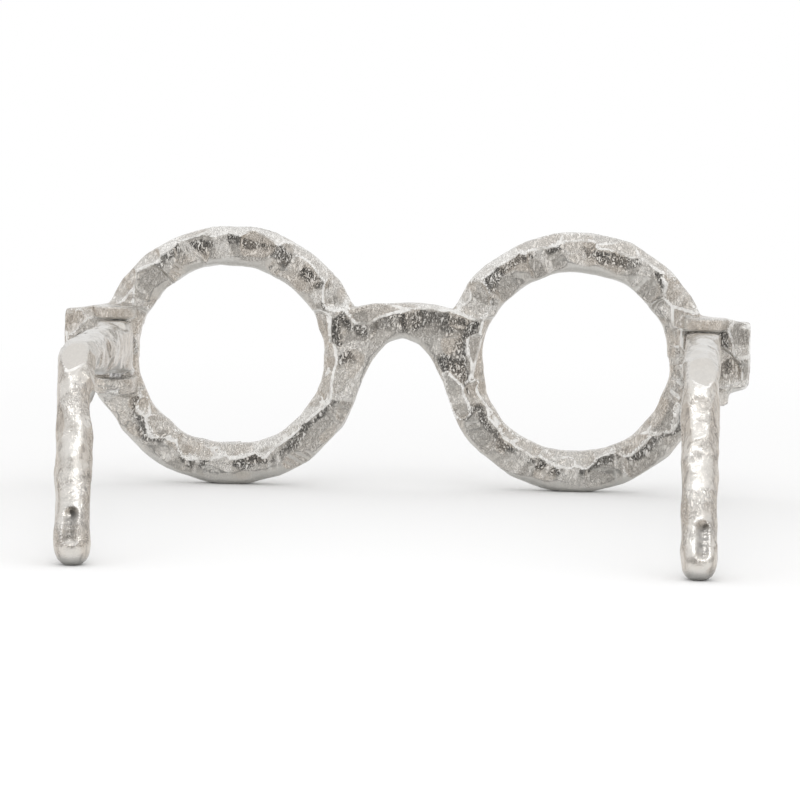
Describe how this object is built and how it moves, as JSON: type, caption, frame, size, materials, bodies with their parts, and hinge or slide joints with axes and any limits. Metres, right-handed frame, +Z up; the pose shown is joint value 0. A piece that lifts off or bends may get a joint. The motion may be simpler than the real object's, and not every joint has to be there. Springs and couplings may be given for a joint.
{
  "type": "eyeglasses sculpture",
  "caption": "Tabletop sculpture of round lensless eyeglasses in hammered cast metal, with two hinged arms that fold behind the frame.",
  "frame": {"origin": "on the surface that the sculpture stands on, under the middle of its box", "axes": "+X across the frame to the right as seen from behind the arms, +Y from the hooks to the front of the lens rings, +Z up"},
  "size_m": [0.3046, 0.265, 0.1157],
  "materials": {
    "cast_frame": "sand-cast, hammered and polished",
    "cast_arm": "sand-cast, hammered and polished",
    "pin_steel": "ground flush"
  },
  "bodies": {
    "frame": {"front_frame": "cast_frame", "left_hinge_pin": "pin_steel", "right_hinge_pin": "pin_steel"},
    "left_arm": {"left_arm": "cast_arm"},
    "right_arm": {"right_arm": "cast_arm"}
  },
  "joints": [
    {"name": "left_arm_hinge", "type": "hinge", "parent": "frame", "child": "left_arm", "pos_m": [-0.12782, 0.10945, 0.0597], "axis": [0, 0, 1], "range_deg": [-4.3, 85]},
    {"name": "right_arm_hinge", "type": "hinge", "parent": "frame", "child": "right_arm", "pos_m": [0.13032, 0.10945, 0.0597], "axis": [0, 0, -1], "range_deg": [-5.5, 67]}
  ]
}
